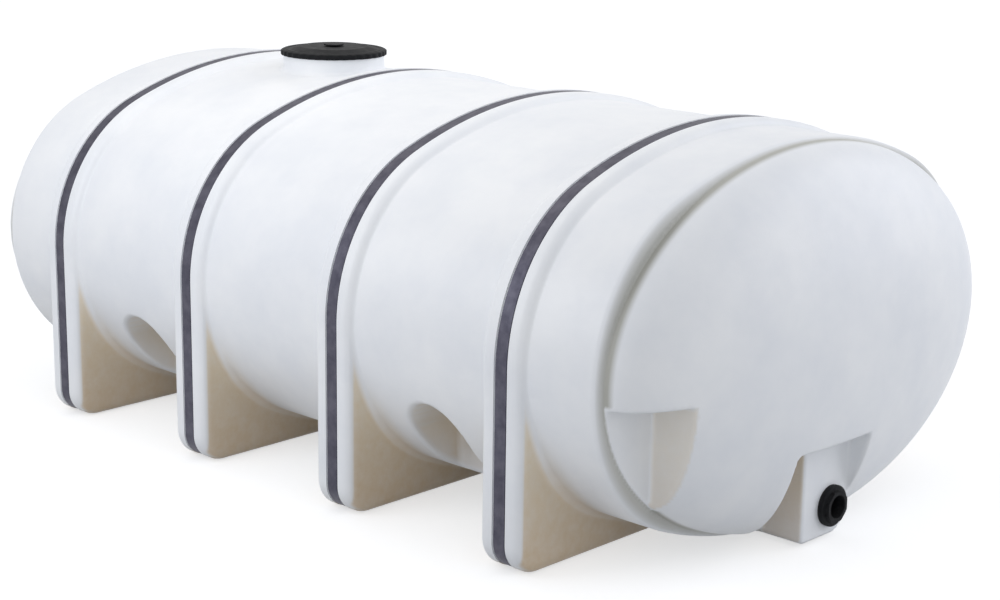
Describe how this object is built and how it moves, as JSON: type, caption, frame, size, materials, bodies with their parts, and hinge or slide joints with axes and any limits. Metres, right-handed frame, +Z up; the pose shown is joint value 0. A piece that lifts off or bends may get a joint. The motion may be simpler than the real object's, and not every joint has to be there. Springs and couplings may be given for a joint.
{
  "type": "horizontal storage tank",
  "caption": "Oval plastic storage tank lying on moulded legs, with steel hold-down hoops, domed ends, a lift-off manway lid and a bottom outlet.",
  "frame": {"origin": "on the floor, under the middle of the barrel", "axes": "+X along the barrel to the outlet end, +Y across to the right side as seen facing the outlet end, +Z up"},
  "size_m": [3.938, 2.2, 1.5208],
  "materials": {
    "tank_polyethylene": "satin",
    "hoop_steel": "satin",
    "lid_plastic": "satin",
    "fitting_plastic": "satin",
    "seal_rubber": "matte"
  },
  "bodies": {
    "tank": {"shell_crown": "tank_polyethylene", "shell_belly": "tank_polyethylene", "shell_left": "tank_polyethylene", "shell_right": "tank_polyethylene", "near_end": "tank_polyethylene", "far_end": "tank_polyethylene", "leg_1_left": "tank_polyethylene", "leg_2_left": "tank_polyethylene", "leg_3_left": "tank_polyethylene", "leg_4_left": "tank_polyethylene", "leg_1_right": "tank_polyethylene", "leg_2_right": "tank_polyethylene", "leg_3_right": "tank_polyethylene", "leg_4_right": "tank_polyethylene", "band_1": "tank_polyethylene", "band_2": "tank_polyethylene", "band_3": "tank_polyethylene", "band_4": "tank_polyethylene", "hoop_1": "hoop_steel", "hoop_2": "hoop_steel", "hoop_3": "hoop_steel", "hoop_4": "hoop_steel", "manway_neck": "tank_polyethylene", "outlet_gasket": "seal_rubber", "outlet_fitting": "fitting_plastic", "outlet_nut": "fitting_plastic"},
    "lid": {"manway_lid": "lid_plastic", "lid_gasket": "seal_rubber", "lid_vent": "lid_plastic"}
  },
  "joints": [
    {"name": "lid_lift", "type": "slide", "parent": "tank", "child": "lid", "axis": [0, 0, 1], "range_m": [0, 0.12]}
  ]
}
